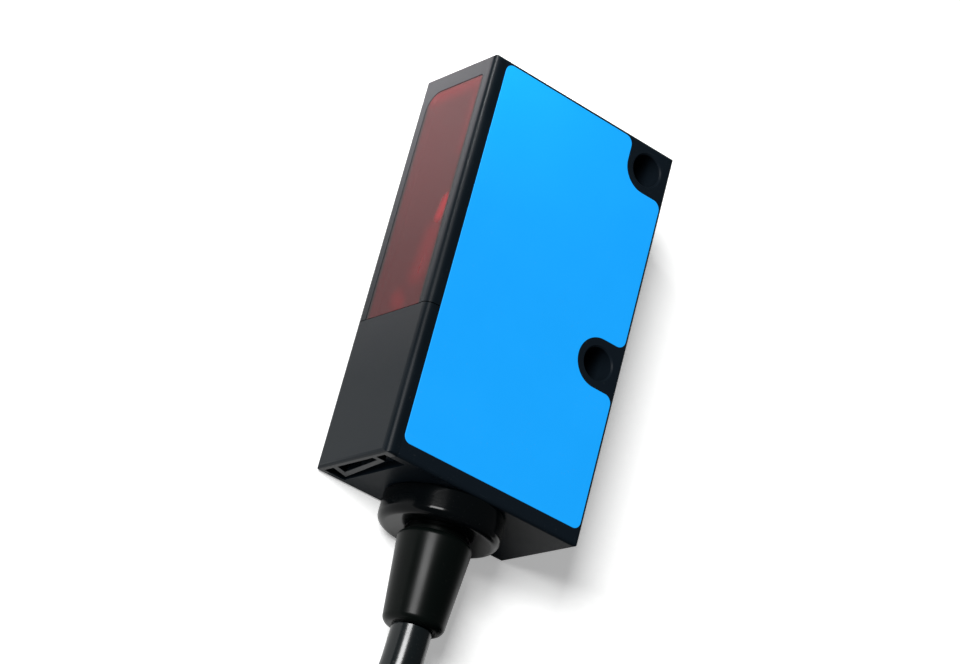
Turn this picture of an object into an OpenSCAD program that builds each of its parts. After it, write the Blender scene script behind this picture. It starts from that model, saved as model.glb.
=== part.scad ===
// Miniature photoelectric sensor with a fixed cable, lying on its side.
// +X runs to the cable end, the optical front faces -Y and the label faces +Z.
// The origin is under the middle of the housing, on the surface it lies on.

/* [Housing] */
// Length of the housing from the far end to the cable end
body_l = 43; // [42.6:0.1:44]
// Depth of the housing from the optical front to the back
body_d = 23.6; // [23.5:0.1:24.4]
// Width of the housing, across the mounting holes
body_w = 12.2; // [12.1:0.1:12.5]
// Radius of the housing's outer edges
edge_r = 0.4; // [0.2:0.05:0.5]
// Radius of the two long edges of the front
front_r = 0.9; // [0.5:0.1:1]
// Thickness of the two long side walls
side_wall = 1; // [0.8:0.05:1.1]
// Thickness of the end walls and the back wall
end_wall = 1.2; // [1.1:0.05:1.3]
// Thickness of the front screen and the lower cover
front_t = 1.4; // [1.3:0.05:1.5]

/* [Mounting holes] */
// Diameter of the two through holes, a clearance fit on M3
hole_d = 3.4; // [3.2:0.1:3.6]
// Distance between the two holes along the housing
hole_pitch = 21.75; // [21.5:0.05:22]
// Distance from the far end to the first hole
hole_end = 2.8; // [2.7:0.05:3]
// Distance from the back face to both holes
hole_back = 2.95; // [2.9:0.05:3]
// Chamfer at both mouths of each hole
hole_chamfer = 0.15; // [0.05:0.05:0.2]

/* [Optics] */
// Length of the window in the front
window_l = 25.3; // [25:0.1:25.4]
// Radius of the window's far corner by the lower side
window_low_r = 2; // [1:0.1:2.5]
// Radius of the window's far corner by the label
window_high_r = 0.5; // [0.3:0.1:2]
// Diameter of the two lenses
lens_d = 8.6; // [8.2:0.1:8.6]
// Distance between the lens axes
lens_pitch = 13.2; // [12.8:0.1:13.4]
// Height of each lens's dome over its rim
lens_sag = 0.9; // [0.6:0.1:1]

/* [Controls] */
// Diameter of the sensitivity and mode rotors
rotor_d = 3.2; // [3:0.1:3.2]
// Running clearance of a rotor in its bore, on the radius
rotor_gap = 0.05; // [0.03:0.01:0.08]
// Width of the screwdriver slot
slot_w = 0.6; // [0.4:0.1:0.8]
// Diameter of the two indicator light guides
guide_d = 1.8; // [1.6:0.1:2]

/* [Cable] */
// Diameter of the cable
cable_d = 4; // [3.8:0.1:4]
// Diameter of the round boss at the cable end
boss_d = 12.1; // [11.8:0.1:12.1]
// Length of the boss outside the housing
boss_l = 3; // [2.8:0.1:3.2]
// Length of the tapered strain relief outside the boss
relief_l = 9.6; // [9.4:0.1:9.8]
// Diameter of the strain relief at its wide end
relief_wide_d = 7.4; // [7.2:0.1:7.6]
// Diameter of the strain relief at its narrow end
relief_thin_d = 6.1; // [5.8:0.1:6.3]

/* [Hidden] */
$fn = 64;
// Overlap that lets a cut pass clean through a face
cut = 0.5;

// Outer faces of the housing, with the boss counted in the length about the origin
x_end = (body_l - boss_l) / 2;
x_far = x_end - body_l;
y_back = body_d / 2;
y_front = -y_back;
mid_z = body_w / 2;
y_frame = y_front + front_t;

// Mounting holes
hole_r = hole_d / 2;
hole_y = y_back - hole_back;
hole_far_x = x_far + hole_end;
hole_near_x = hole_far_x + hole_pitch;
hole_x = [hole_far_x, hole_near_x];
post_r = 2.7;

// Joint between the front screen and the lower cover
seam_x = x_end - 15.7;
seam_gap = 0.08;

// Window in the front frame, which is open at the seam
window_x = seam_x - window_l;
window_z = [1.65, 10.8];
screen_gap = 0.04;
flange_t = 0.6;
seal_t = 0.4;
y_flange = y_frame + flange_t;
y_block = y_flange + seal_t;

// Lens block and its two chambers
block_x = [x_far + 1.4, seam_x - 0.1];
block_z = [1.1, body_w - 1.1];
block_d = 7;
y_board = y_block + block_d;
lens_r = lens_d / 2;
lens_x = [seam_x - 6.7 - lens_pitch, seam_x - 6.7];
lens_seat = 2;
y_seat = y_block + lens_seat;
lens_rim = 1;
chamber_r = 3.6;
chamber_d = 3;
dome_r = (lens_r * lens_r + lens_sag * lens_sag) / (2 * lens_sag);

// Circuit board, on the middle plane of the housing
board_t = 0.8;
board_x = [x_far + 3.4, 12];
board_y = [y_board, 5.8];
board_top = mid_z + board_t / 2;
board_low = mid_z - board_t / 2;

// Controls in the far end wall
control_y = 3.4;
control_off = 2.6;
adjuster_z = mid_z - control_off;
selector_z = mid_z + control_off;
rotor_r = rotor_d / 2;
bore_r = rotor_r + rotor_gap;
bore_l = 2.4;
head_sunk = 0.15;
head_t = 0.95;
neck_r = 1;
neck_end = x_far + 3.6;
ring_x = x_far + 1.7;
ring_tube = 0.29;
base_x = [x_far + 2.6, x_far + 6];
mark_r = 2.05;
mark_w = 0.2;
mark_depth = 0.1;
mark_turn = 24;
adjuster_reach = 135;
guide_y = -1;
guide_off = 1.6;
guide_r = guide_d / 2;
guide_end = x_far + 3.3;

// Cable outlet
cable_y = -0.2;
cable_r = cable_d / 2;
boss_r = boss_d / 2;
boss_round = 0.8;
spigot_r = 4.2;
flange_r = 4.8;
x_boss = x_end + boss_l;
relief_neck_r = 3;
relief_root = 0.8;
relief_start = x_boss + 0.4;
wide_round = 0.6;
thin_round = 0.8;
relief_steps = 6;
x_exit = x_boss + relief_l;
jacket_x = 14.6;

// Latch pocket in the cable end face, behind a thin lip of the cover
lip_t = 0.7;
pocket_y = y_frame + 1.7;
pocket_z = [0.9, 11];
pocket_d = 0.8;

// Latch: a hollow hook in the pocket, held by the lip
hook_top = x_end - 0.1;
hook_root = y_front + lip_t - 0.2;
hook_outside = [
    [hook_root, 2.3], [pocket_y - 0.3, 1.5],
    [pocket_y - 1.2, 9.4], [hook_root, 9.4]
];
hook_inside = [
    [y_front + lip_t, 2.95], [pocket_y - 1.1, 2.5],
    [pocket_y - 1.7, 8.8], [y_front + lip_t, 8.8]
];

// Label and its recess
label_t = 0.15;
label_sunk = 0.1;
label_x = [x_far + 0.4, x_end - 1.6];
label_y = [y_front + 1.5, y_back - 0.4];
label_r = 0.8;
pad_r = 2.6;
pad_fillet = 0.9;

// Route of the cable from the strain relief down to the coil
route = [
    [x_exit, cable_y, mid_z], [34.6, -0.2, 6], [36.6, -0.2, 5.8], [38.6, -0.3, 5.4],
    [40.5, -0.7, 4.9], [42.4, -1.4, 4.4], [44.2, -2.3, 3.9], [45.9, -3.4, 3.5],
    [47.5, -4.6, 3.1], [49.2, -5.7, 2.8], [51, -6.7, 2.6], [52.9, -7.6, 2.4],
    [54.8, -8.3, 2.3], [56.7, -8.9, 2.3], [58.7, -9.3, 2.3], [60.7, -9.6, 2.3],
    [62.7, -9.8, 2.3], [64, -9.8, 2.3]
];
tube_sides = 10;
// Coil: its middle, and the inner and outer edges of its turns
coil_x = 64;
coil_y = 19.2;
coil_in = 15;
coil_out = 31;
coil_top = 12.3;
crown_out = 23;
crown_top = 16.3;
tie_w = 3.6;
tie_t = 0.6;
tie_under = 0.3;
tie_turn = -45;
tie_head_w = 4.8;
tie_head_h = 5;
tie_head_t = 3.4;
tie_head_drop = 2;
// Cores: where the jacket ends, how far they reach round the coil, and their size
core_from = 190;
core_turn = 56;
core_r = 0.55;
core_in = 23.7;
core_step = 1.2;
ferrule_turn = 14;
ferrule_r = 0.6;

// Rectangle with round corners, between two corners
module rounded_rect(low, high, r) {
    translate([low[0] + r, low[1]])
        square([high[0] - low[0] - 2 * r, high[1] - low[1]]);
    translate([low[0], low[1] + r])
        square([high[0] - low[0], high[1] - low[1] - 2 * r]);
    for (x = [low[0] + r, high[0] - r], y = [low[1] + r, high[1] - r])
        translate([x, y])
            circle(r);
}

// Box between two corners
module box(low, high) {
    translate(low)
        cube([high[0] - low[0], high[1] - low[1], high[2] - low[2]]);
}

// Extrusion along X of a shape drawn in Y and Z
module along_x(x0, x1) {
    translate([x0, 0, 0])
        rotate([90, 0, 90])
            linear_extrude(x1 - x0)
                children();
}

// Extrusion along Y of a shape drawn in X and Z
module along_y(y0, y1) {
    translate([0, y1, 0])
        rotate([90, 0, 0])
            linear_extrude(y1 - y0)
                children();
}

// Extrusion along Z of a shape drawn in X and Y
module along_z(z0, z1) {
    translate([0, 0, z0])
        linear_extrude(z1 - z0)
            children();
}

// Round bar along X about the point [y, z]
module bar_x(x0, x1, y, z, r) {
    translate([x0, y, z])
        rotate([0, 90, 0])
            cylinder(h = x1 - x0, r = r);
}

// Round bar along Y about the point [x, z]
module bar_y(y0, y1, x, z, r) {
    translate([x, y1, z])
        rotate([90, 0, 0])
            cylinder(h = y1 - y0, r = r);
}

// Solid of revolution about the cable's axis; its shape is drawn as [x, radius]
module turned_x() {
    translate([0, cable_y, mid_z])
        rotate([0, 90, 0])
            rotate_extrude()
                rotate(90)
                    mirror([0, 1])
                        children();
}

// Piece that trims a convex corner at the origin to a radius; the corner points to +X +Y
module corner_trim(r) {
    difference() {
        translate([-r, -r])
            square([r + cut, r + cut]);
        translate([-r, -r])
            circle(r);
    }
}

// Outer shape of the closed housing, with its edges rounded
module body_block() {
    intersection() {
        along_z(0, body_w)
            rounded_rect([x_far, y_front], [x_end, y_back], edge_r);
        along_y(y_front, y_back)
            rounded_rect([x_far, 0], [x_end, body_w], edge_r);
        along_x(x_far, x_end)
            intersection() {
                rounded_rect([y_front, 0], [y_back, body_w], edge_r);
                rounded_rect([y_front, 0], [y_back + body_w, body_w], front_r);
            }
    }
}

// Outline of the window opening, which runs past the seam at its open end
module window_outline(gap) {
    x0 = window_x + gap;
    z0 = window_z[0] + gap;
    z1 = window_z[1] - gap;
    difference() {
        translate([x0, z0])
            square([seam_x - x0 + cut, z1 - z0]);
        translate([x0, z0])
            rotate(180)
                corner_trim(window_low_r - gap);
        translate([x0, z1])
            rotate(90)
                corner_trim(window_high_r - gap);
    }
}

// Outline of the label, with the two notches round the mounting holes
module label_outline() {
    far_notch_y = hole_y - pad_r;
    far_notch_x = hole_far_x + pad_r;
    near_low_x = hole_near_x - pad_r;
    near_high_x = hole_near_x + pad_r;
    difference() {
        rounded_rect([label_x[0], label_y[0]], [label_x[1], label_y[1]], label_r);
        // Corner notch at the far hole
        translate([hole_far_x, hole_y])
            circle(pad_r);
        translate([label_x[0] - cut, far_notch_y])
            square([hole_far_x - label_x[0] + cut, body_d]);
        translate([label_x[0] - cut, hole_y])
            square([far_notch_x - label_x[0] + cut, body_d]);
        translate([label_x[0], far_notch_y])
            rotate(90)
                corner_trim(pad_fillet);
        translate([far_notch_x, label_y[1]])
            rotate(90)
                corner_trim(pad_fillet);
        // Slot notch at the near hole
        translate([hole_near_x, hole_y])
            circle(pad_r);
        translate([near_low_x, hole_y])
            square([2 * pad_r, body_d]);
        translate([near_low_x, label_y[1]])
            corner_trim(pad_fillet);
        translate([near_high_x, label_y[1]])
            rotate(90)
                corner_trim(pad_fillet);
    }
}

// Through hole with a chamfer at each mouth
module mounting_hole(x) {
    translate([x, hole_y, -cut])
        cylinder(h = body_w + 2 * cut, r = hole_r);
    translate([x, hole_y, -cut])
        cylinder(h = cut + hole_chamfer, r1 = hole_r + hole_chamfer + cut, r2 = hole_r);
    translate([x, hole_y, body_w - hole_chamfer])
        cylinder(h = cut + hole_chamfer, r1 = hole_r, r2 = hole_r + hole_chamfer + cut);
}

// Engraved arc about a control, between two angles measured from the front face's side
module control_mark(z, from, sweep) {
    translate([x_far, control_y, z])
        rotate([0, -90, 0])
            rotate(from)
                rotate_extrude(angle = sweep)
                    translate([mark_r, -mark_depth])
                        square([mark_w, mark_depth + cut]);
}

module housing() {
    color([0.11, 0.115, 0.125])
    difference() {
        intersection() {
            body_block();
            box([x_far, y_frame, 0], [x_end, y_back, body_w]);
        }
        // Cavity, open to the front, round the two posts that carry the holes
        difference() {
            box([x_far + end_wall, y_front, side_wall],
                [x_end - end_wall, y_back - end_wall, body_w - side_wall]);
            for (x = hole_x)
                translate([x, hole_y, 0])
                    cylinder(h = body_w, r = post_r);
            for (z = [adjuster_z, selector_z])
                bar_x(x_far, x_far + bore_l, control_y, z, rotor_r + 0.8);
        }
        for (x = hole_x)
            mounting_hole(x);
        for (z = [adjuster_z, selector_z])
            bar_x(x_far - cut, x_far + bore_l + cut, control_y, z, bore_r);
        for (z = [mid_z - guide_off, mid_z + guide_off])
            bar_x(x_far - cut, x_far + end_wall + cut, guide_y, z, guide_r);
        bar_x(x_end - end_wall - cut, x_end + cut, cable_y, mid_z, spigot_r);
        // Range of the adjuster, and the two settings of the selector
        control_mark(adjuster_z, -adjuster_reach, 2 * adjuster_reach);
        for (side = [90, 270])
            control_mark(selector_z, side - mark_turn / 2, mark_turn);
        // Latch pocket
        box([x_end - pocket_d, y_frame - cut, pocket_z[0]], [x_end + cut, pocket_y, pocket_z[1]]);
        // Label recess
        along_z(body_w - label_sunk, body_w + cut)
            label_outline();
    }
}

module label() {
    color([0.05, 0.62, 0.98])
    along_z(body_w - label_sunk, body_w - label_sunk + label_t)
        label_outline();
}

module front_frame() {
    color([0.13, 0.13, 0.14])
    difference() {
        intersection() {
            body_block();
            box([x_far, y_front, 0], [seam_x, y_frame, body_w]);
        }
        along_y(y_front - cut, y_frame + cut)
            window_outline(0);
    }
}

module front_screen() {
    color([0.55, 0.05, 0.08, 0.7])
    union() {
        intersection() {
            along_y(y_front + 0.04, y_frame)
                window_outline(screen_gap);
            box([x_far, y_front, 0], [seam_x, y_frame, body_w]);
        }
        box([window_x - 0.6, y_frame, side_wall + 0.05],
            [seam_x, y_flange, body_w - side_wall - 0.05]);
    }
}

module screen_seal() {
    color([0.06, 0.06, 0.06])
    difference() {
        box([block_x[0], y_flange, block_z[0]], [block_x[1], y_block, block_z[1]]);
        box([block_x[0] + 0.9, y_front, block_z[0] + 0.65],
            [block_x[1] - 0.9, y_back, block_z[1] - 0.65]);
    }
}

module lower_cover() {
    color([0.13, 0.13, 0.14])
    union() {
        cover_shell();
        along_x(x_end - pocket_d, hook_top)
            difference() {
                polygon(hook_outside);
                polygon(hook_inside);
            }
    }
}

// Cover without its latch
module cover_shell() {
    difference() {
        union() {
            intersection() {
                body_block();
                box([seam_x + seam_gap, y_front, 0], [x_end, y_frame, body_w]);
            }
            // Locating rib inside the housing
            difference() {
                box([seam_x + 1, y_frame, side_wall],
                    [x_end - end_wall, y_frame + 1.5, body_w - side_wall]);
                box([seam_x + 1.8, y_frame, side_wall + 0.8],
                    [x_end - end_wall - 0.8, y_back, body_w - side_wall - 0.8]);
            }
        }
        // The pocket bites into the cover behind the lip
        box([x_end - pocket_d, y_front + lip_t, pocket_z[0]], [x_end + cut, y_frame, pocket_z[1]]);
    }
}

module lens_block() {
    color([0.08, 0.08, 0.085])
    difference() {
        box([block_x[0], y_block, block_z[0]], [block_x[1], y_board, block_z[1]]);
        for (x = lens_x) {
            bar_y(y_block - cut, y_seat, x, mid_z, lens_r + 0.05);
            bar_y(y_seat - cut, y_seat + chamber_d, x, mid_z, chamber_r);
        }
        box([lens_x[0] - 1.6, y_seat, mid_z - 1.6], [lens_x[0] + 1.6, y_back, mid_z + 1.6]);
        box([lens_x[1] - 2.7, y_seat, mid_z - 2.6], [lens_x[1] + 2.7, y_back, mid_z + 2.6]);
        // Shallow trough between the two lens seats
        box([lens_x[0] + lens_r + 0.7, y_block - cut, block_z[0] + 1.2],
            [lens_x[1] - lens_r - 0.7, y_block + 1.2, block_z[1] - 1.2]);
    }
}

// Plano-convex lens with its flat side on the seat
module lens(x) {
    translate([x, y_seat, mid_z])
        rotate([90, 0, 0])
            rotate_extrude()
                intersection() {
                    square([lens_r, lens_rim + lens_sag + cut]);
                    translate([0, lens_rim + lens_sag - dome_r])
                        circle(dome_r, $fn = 256);
                }
}

module emitter_lens() {
    color([0.9, 0.75, 0.75, 0.6])
    lens(lens_x[0]);
}

module receiver_lens() {
    color([0.9, 0.75, 0.75, 0.6])
    lens(lens_x[1]);
}

module emitter_diode() {
    base_t = 0.9;
    bulb_r = 1.1;
    color([0.85, 0.83, 0.78])
    union() {
        box([lens_x[0] - 1.5, y_board - base_t, mid_z - 1.5], [lens_x[0] + 1.5, y_board, mid_z + 1.5]);
        // Dome over the emitting chip
        translate([lens_x[0], y_board - base_t, mid_z])
            rotate([90, 0, 0])
                rotate_extrude()
                    intersection() {
                        translate([0, -0.3])
                            square([2 * bulb_r, 2 * bulb_r]);
                        circle(bulb_r);
                    }
    }
}

module receiver_chip() {
    color([0.12, 0.1, 0.1])
    box([lens_x[1] - 2, y_board - 1, mid_z - 1.8], [lens_x[1] + 2, y_board, mid_z + 1.8]);
}

module receiver_shield() {
    color([0.75, 0.76, 0.76])
    difference() {
        box([lens_x[1] - 2.5, y_board - 1.5, mid_z - 2.4], [lens_x[1] + 2.5, y_board, mid_z + 2.4]);
        box([lens_x[1] - 2.3, y_board - 1.3, mid_z - 2.2],
            [lens_x[1] + 2.3, y_board + cut, mid_z + 2.2]);
        bar_y(y_board - 2, y_board - 1, lens_x[1], mid_z, 1.2);
    }
}

module circuit_board() {
    color([0.05, 0.32, 0.16])
    difference() {
        box([board_x[0], board_y[0], board_low], [board_x[1], board_y[1], board_top]);
        for (y = [-1, 1])
            translate([board_x[1] - 0.9, cable_y + y * 0.8, 0])
                cylinder(h = body_w, r = 0.3);
    }
}

module control_chip() {
    color([0.1, 0.1, 0.11])
    union() {
        box([-6, 0, board_top + 0.1], [-1, 4.4, board_top + 1.1]);
        for (k = [0:6])
            box([-5.7 + k * 0.7, -0.5, board_top], [-5.4 + k * 0.7, 4.9, board_top + 0.4]);
    }
}

module output_transistor() {
    color([0.1, 0.1, 0.11])
    union() {
        box([4.6, 1, board_top + 0.1], [7.5, 2.4, board_top + 1.1]);
        box([5.8, 0.4, board_top], [6.3, 1, board_top + 0.4]);
        for (x = [4.9, 6.8])
            box([x, 2.4, board_top], [x + 0.5, 3, board_top + 0.4]);
    }
}

module board_passives() {
    color([0.62, 0.52, 0.36])
    union() {
        for (k = [0:4])
            box([-14 + k * 1.6, 3.6, board_top], [-13.2 + k * 1.6, 5.2, board_top + 0.5]);
        for (k = [0:3])
            box([-10 + k * 3, 1, board_low - 0.8], [-8.4 + k * 3, 3.4, board_low]);
        box([3, -1.6, board_low - 1.2], [6, 0.4, board_low]);
    }
}

// Indicator chip on one face of the board; side is 1 for the top face
module indicator_chip(side) {
    z = mid_z + side * (board_t / 2 + 0.4);
    box([guide_end + 0.1, guide_y - 0.6, z - 0.4], [guide_end + 1.7, guide_y + 0.6, z + 0.4]);
}

module output_led() {
    color([0.95, 0.75, 0.15])
    indicator_chip(1);
}

module power_led() {
    color([0.35, 0.85, 0.35])
    indicator_chip(-1);
}

// Clear rod from the far end face to an indicator chip, with a stop flange inside
module light_guide(z) {
    bar_x(x_far + 0.05, guide_end, guide_y, z, guide_r);
    bar_x(x_far + end_wall, x_far + end_wall + 0.4, guide_y, z, guide_r + 0.35);
}

module output_light_guide() {
    color([0.98, 0.8, 0.25, 0.8])
    light_guide(mid_z + guide_off);
}

module power_light_guide() {
    color([0.45, 0.9, 0.45, 0.8])
    light_guide(mid_z - guide_off);
}

// Rotary part soldered to the board, with a blind hole for the rotor's neck
module control_base(z) {
    low = z > mid_z ? board_top : side_wall + 0.2;
    high = z > mid_z ? body_w - side_wall - 0.2 : board_low;
    difference() {
        box([base_x[0], control_y - 1.8, low], [base_x[1], control_y + 1.8, high]);
        bar_x(base_x[0] - cut, neck_end + 0.1, control_y, z, neck_r + 0.06);
    }
}

// Sealing ring round a rotor's neck
module control_seal(z) {
    translate([ring_x, control_y, z])
        rotate([0, 90, 0])
            rotate_extrude()
                translate([bore_r - ring_tube - 0.01, 0])
                    circle(ring_tube);
}

// Slotted rotor: its head stands a little below the end face
module control_rotor(z, slot_turn) {
    head_x = x_far + head_sunk;
    difference() {
        union() {
            bar_x(head_x, head_x + head_t, control_y, z, rotor_r);
            bar_x(head_x + head_t, neck_end, control_y, z, neck_r);
        }
        translate([head_x, control_y, z])
            rotate([slot_turn, 0, 0]) {
                box([-cut, -slot_w / 2, -rotor_r * 0.8], [0.45, slot_w / 2, rotor_r * 0.8]);
                // Pointer flats at one end of the slot
                translate([0, 0, rotor_r * 0.3])
                    rotate([45, 0, 0])
                        box([-cut, -0.45, -0.45], [0.3, 0.45, 0.45]);
            }
    }
}

module adjuster_base() {
    color([0.2, 0.3, 0.62])
    control_base(adjuster_z);
}

module adjuster_seal() {
    color([0.08, 0.08, 0.08])
    control_seal(adjuster_z);
}

module adjuster_rotor() {
    color([0.93, 0.92, 0.88])
    control_rotor(adjuster_z, 0);
}

module selector_base() {
    color([0.2, 0.3, 0.62])
    control_base(selector_z);
}

module selector_seal() {
    color([0.08, 0.08, 0.08])
    control_seal(selector_z);
}

module selector_rotor() {
    color([0.93, 0.92, 0.88])
    control_rotor(selector_z, 90);
}

module cable_bush() {
    color([0.1, 0.1, 0.11])
    difference() {
        turned_x() {
            // Boss outside the housing, its rim rounded
            translate([x_end, 0])
                square([boss_l - boss_round, boss_r]);
            translate([x_end, 0])
                square([boss_l, boss_r - boss_round]);
            translate([x_boss - boss_round, boss_r - boss_round])
                circle(boss_round);
            // Spigot through the wall and the flange that holds it inside
            translate([x_end - end_wall, 0])
                square([end_wall, spigot_r]);
            translate([x_end - end_wall - 1.2, 0])
                square([1.2, flange_r]);
        }
        bar_x(x_end - 4, x_boss + cut, cable_y, mid_z, cable_r);
        bar_x(x_boss - relief_root, x_boss + cut, cable_y, mid_z, relief_neck_r);
        turned_x()
            translate([x_end - cut, 4.6])
                square([cut + 0.35, 0.9]);
    }
}

module bush_gasket() {
    color([0.25, 0.08, 0.07])
    turned_x()
        translate([x_end, 4.6])
            square([0.35, 0.9]);
}

module crimp_ring() {
    color([0.75, 0.74, 0.7])
    turned_x()
        translate([jacket_x + 0.6, cable_r])
            square([2, 0.45]);
}

module solder_leads() {
    color([0.8, 0.6, 0.3])
    for (side = [-1, 1], y = [-0.8, 0.8])
        bar_x(board_x[1] - 2, jacket_x, cable_y + y, mid_z + side * (board_t / 2 + 0.45), 0.45);
}

// Points along an arc
function arc(middle, r, from, to) =
    [for (i = [0:relief_steps])
        let (a = from + (to - from) * i / relief_steps)
        middle + r * [cos(a), sin(a)]];

// Shape of the strain relief beside the axis: a neck, then a taper between two round shoulders
module relief_profile() {
    wide = [relief_start + wide_round, relief_wide_d / 2 - wide_round];
    thin = [x_exit - thin_round, relief_thin_d / 2 - thin_round];
    lean = 90 - atan2(wide[1] - thin[1], thin[0] - wide[0]);
    polygon(concat(
        [[x_boss - relief_root, 0], [x_boss - relief_root, relief_neck_r]],
        [[relief_start, relief_neck_r]],
        arc(wide, wide_round, 180, lean),
        arc(thin, thin_round, lean, 0),
        [[x_exit, 0]]
    ));
}

module strain_relief() {
    color([0.07, 0.075, 0.08])
    difference() {
        turned_x()
            relief_profile();
        bar_x(x_end, x_exit + cut, cable_y, mid_z, cable_r);
    }
}

module cable_start() {
    color([0.1, 0.11, 0.115])
    bar_x(jacket_x, x_exit, cable_y, mid_z, cable_r);
}

// One ring of points about a route point, square to the route there
function ring(k) =
    let (
        last = len(route) - 1,
        along = route[min(k + 1, last)] - route[max(k - 1, 0)],
        flow = k == 0 ? [1, 0, 0] : along / norm(along),
        side = cross([0, 0, 1], flow) / norm(cross([0, 0, 1], flow)),
        up = cross(flow, side)
    )
    [for (i = [0:tube_sides - 1])
        let (a = 360 * i / tube_sides)
        route[k] + cable_r * (cos(a) * side + sin(a) * up)];

module cable_lead() {
    n = tube_sides;
    rings = len(route);
    points = [for (k = [0:rings - 1]) each ring(k)];
    walls = [for (k = [0:rings - 2], i = [0:n - 1])
        [k * n + i, k * n + (i + 1) % n, (k + 1) * n + (i + 1) % n, (k + 1) * n + i]];
    start_cap = [for (i = [n - 1:-1:0]) i];
    end_cap = [for (i = [0:n - 1]) (rings - 1) * n + i];
    color([0.1, 0.11, 0.115])
    polyhedron(points, concat([start_cap], [for (w = walls) [w[0], w[1], w[2], w[3]]], [end_cap]));
}

module cable_coil() {
    color([0.1, 0.11, 0.115])
    translate([coil_x, coil_y, 0])
        rotate_extrude()
            polygon([
                [coil_in, 0], [coil_out, 0], [coil_out, coil_top],
                [crown_out, coil_top], [crown_out, crown_top], [coil_in, crown_top]
            ]);
}

module coil_tie() {
    color([0.05, 0.05, 0.05])
    translate([coil_x, coil_y, 0])
        rotate(tie_turn) {
            along_y(-tie_w / 2, tie_w / 2)
                difference() {
                    polygon([
                        [coil_in - tie_t, 0], [coil_out + tie_t, 0],
                        [coil_out + tie_t, coil_top + tie_t],
                        [crown_out + tie_t, crown_top + tie_t],
                        [coil_in - tie_t, crown_top + tie_t]
                    ]);
                    polygon([
                        [coil_in, tie_under], [coil_out, tie_under], [coil_out, coil_top + 0.1],
                        [crown_out + 0.1, crown_top], [coil_in, crown_top]
                    ]);
                }
            // Head of the tie, on the outer side of the coil
            box([coil_out, -tie_head_w / 2, coil_top - tie_head_h - tie_head_drop],
                [coil_out + tie_head_t, tie_head_w / 2, coil_top - tie_head_drop]);
        }
}

// Stripped core that lies along the top of the coil; k counts outwards
module core(k) {
    translate([coil_x, coil_y, coil_top + core_r])
        rotate(core_from)
            rotate_extrude(angle = core_turn)
                translate([core_in + k * core_step, 0])
                    circle(core_r);
}

module core_brown() {
    color([0.35, 0.18, 0.08])
    core(0);
}

module core_white() {
    color([0.9, 0.9, 0.88])
    core(1);
}

module core_blue() {
    color([0.1, 0.3, 0.75])
    core(2);
}

module core_black() {
    color([0.05, 0.05, 0.05])
    core(3);
}

module core_ferrules() {
    color([0.78, 0.78, 0.76])
    for (k = [0:3])
        translate([coil_x, coil_y, coil_top + ferrule_r])
            rotate(core_from + core_turn)
                rotate_extrude(angle = ferrule_turn)
                    translate([core_in + k * core_step, 0])
                        circle(ferrule_r - 0.02);
}

housing();
label();
front_frame();
front_screen();
screen_seal();
lower_cover();
lens_block();
emitter_lens();
receiver_lens();
emitter_diode();
receiver_chip();
receiver_shield();
circuit_board();
control_chip();
output_transistor();
board_passives();
output_led();
power_led();
output_light_guide();
power_light_guide();
adjuster_base();
adjuster_seal();
adjuster_rotor();
selector_base();
selector_seal();
selector_rotor();
cable_bush();
bush_gasket();
crimp_ring();
solder_leads();
strain_relief();
cable_start();
cable_lead();
cable_coil();
coil_tie();
core_brown();
core_white();
core_blue();
core_black();
core_ferrules();
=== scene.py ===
"""Photoelectric sensor on a fixed cable, built round its CAD frame."""

import math

import bmesh
import bpy
from bpy.props import (
    FloatProperty,
    FloatVectorProperty,
    IntProperty,
    PointerProperty,
)
from mathutils import Matrix, Vector


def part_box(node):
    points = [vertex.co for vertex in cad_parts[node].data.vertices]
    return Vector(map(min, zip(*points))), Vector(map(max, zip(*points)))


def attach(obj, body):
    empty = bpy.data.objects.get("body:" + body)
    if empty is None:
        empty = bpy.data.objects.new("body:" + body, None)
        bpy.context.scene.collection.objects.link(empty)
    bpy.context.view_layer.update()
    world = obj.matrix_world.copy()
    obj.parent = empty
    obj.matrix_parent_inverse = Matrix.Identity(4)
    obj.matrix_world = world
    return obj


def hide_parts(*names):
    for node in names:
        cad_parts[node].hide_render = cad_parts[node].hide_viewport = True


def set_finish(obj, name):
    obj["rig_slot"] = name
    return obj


bl_info = {
    "name": "Photoelectric Sensor",
    "version": (1, 0, 0),
    "blender": (4, 5, 0),
    "location": "3D View > Sidebar > Sensor",
    "description": "Miniature photoelectric sensor with its cable, on a studio floor",
    "category": "Object",
}

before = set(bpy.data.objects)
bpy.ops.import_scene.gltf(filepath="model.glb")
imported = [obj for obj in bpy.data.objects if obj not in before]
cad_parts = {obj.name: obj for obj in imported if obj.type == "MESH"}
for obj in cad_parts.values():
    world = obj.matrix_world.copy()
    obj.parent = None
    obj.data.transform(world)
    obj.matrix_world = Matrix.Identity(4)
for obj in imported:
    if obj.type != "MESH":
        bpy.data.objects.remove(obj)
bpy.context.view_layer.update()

MM = 0.001
BODY = "sensor"

# Places that the pieces share, in metres
HOUSING_LOW, HOUSING_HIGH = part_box("housing")
BOSS_LOW, BOSS_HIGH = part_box("cable_bush")
RELIEF_LOW, RELIEF_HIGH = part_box("strain_relief")
COIL_LOW, COIL_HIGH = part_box("cable_coil")
CABLE_Y = (RELIEF_LOW.y + RELIEF_HIGH.y) / 2
CABLE_Z = (RELIEF_LOW.z + RELIEF_HIGH.z) / 2
COIL_CENTRE = (COIL_LOW + COIL_HIGH) / 2
FRONT_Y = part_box("front_frame")[0].y

# Part of the screen that shows in the frame: its far edge and its two long edges
FLANGE = 0.0006
SCREEN_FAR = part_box("front_screen")[0].x + FLANGE
SCREEN_LOW_EDGE = 0.00165
SCREEN_HIGH_EDGE = 0.0108

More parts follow.
